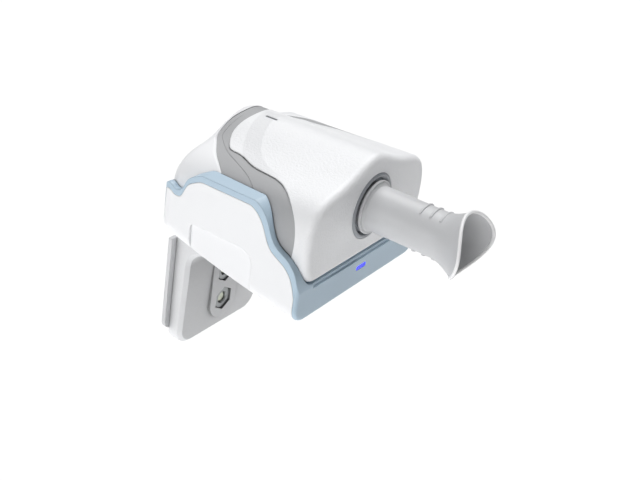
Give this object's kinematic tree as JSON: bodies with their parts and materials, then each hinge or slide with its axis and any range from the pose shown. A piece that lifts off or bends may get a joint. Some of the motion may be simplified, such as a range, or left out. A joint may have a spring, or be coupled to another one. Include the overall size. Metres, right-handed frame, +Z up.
{
  "type": "pulmonary function tester",
  "caption": "Handheld lung function tester with a flared oval mouthpiece, resting in a wall-held charging dock on an arm bracket.",
  "frame": {"origin": "centre of the wall plate's back face, where it lies on the wall", "axes": "+Y points back into the wall, -Y is the way the mouthpiece points, +Z up, X across the dock"},
  "size_m": [0.1448, 0.1957, 0.177],
  "materials": {
    "shell": "satin moulded ABS, warm white",
    "grip": "matt soft-touch plastic, mid grey",
    "frame": "matt moulded nylon, dark grey",
    "tray": "matt moulded ABS, light grey",
    "screw": "zinc plated steel",
    "gold": "gold plated contact",
    "board": "green glass-epoxy board",
    "chip": "black moulded package",
    "cell": "shrink wrapped lithium cell",
    "smoked": "smoked clear polycarbonate",
    "lamp": "clear epoxy lamp",
    "ring": "satin moulded plastic, grey",
    "tube": "moulded ABS, pale grey",
    "sensor": "anodised aluminium can",
    "grille": "matt moulded plastic, grey",
    "paperwhite": "matt moulded plastic, white",
    "liner": "satin moulded ABS, pale blue grey",
    "dock": "satin moulded ABS, white",
    "diffuser": "blue lit diffuser",
    "bracket": "textured powder coat, white",
    "plate": "powder coated steel, off white",
    "nut": "zinc plated steel",
    "spring": "spring steel wire"
  },
  "bodies": {
    "dock": {"wall_plate": "plate", "plate_screws": "nut", "hex_nuts": "nut", "wall_bracket": "bracket", "bracket_screws": "screw", "dock_shell": "dock", "dock_liner": "liner", "charge_window": "diffuser", "charge_lamp": "lamp", "charge_board": "board", "charge_board_screws": "screw", "contact_block": "chip", "left_pin_spring": "spring", "right_pin_spring": "spring", "power_inlet": "chip"},
    "handset": {"front_shell": "shell", "rear_shell": "shell", "front_grip_band": "grip", "rear_grip_band": "grip", "inner_frame": "frame", "base_tray": "tray", "tray_screws": "screw", "charge_pads": "gold", "main_board": "board", "main_board_screws": "screw", "processor": "chip", "battery_pack": "cell", "status_window": "smoked", "status_lamp": "lamp", "lamp_board": "board", "socket_ring": "ring", "flow_tube": "tube", "flow_transducers": "sensor", "outlet_grille": "grille"},
    "mouthpiece": {"mouthpiece": "paperwhite"},
    "left_pin": {"left_charge_pin": "gold"},
    "right_pin": {"right_charge_pin": "gold"}
  },
  "joints": [
    {"name": "handset_slide", "type": "slide", "parent": "dock", "child": "handset", "axis": [0, -1, 0], "range_m": [0, 0.125]},
    {"name": "mouthpiece_pull", "type": "slide", "parent": "handset", "child": "mouthpiece", "axis": [0, -1, 0], "range_m": [0, 0.03]},
    {"name": "left_pin_press", "type": "slide", "parent": "dock", "child": "left_pin", "axis": [0, 0, -1], "range_m": [0, 0.0015], "stiffness_N_per_m": 300, "deforming": ["left_pin_spring"]},
    {"name": "right_pin_press", "type": "slide", "parent": "dock", "child": "right_pin", "axis": [0, 0, -1], "range_m": [0, 0.0015], "stiffness_N_per_m": 300, "deforming": ["right_pin_spring"]}
  ]
}
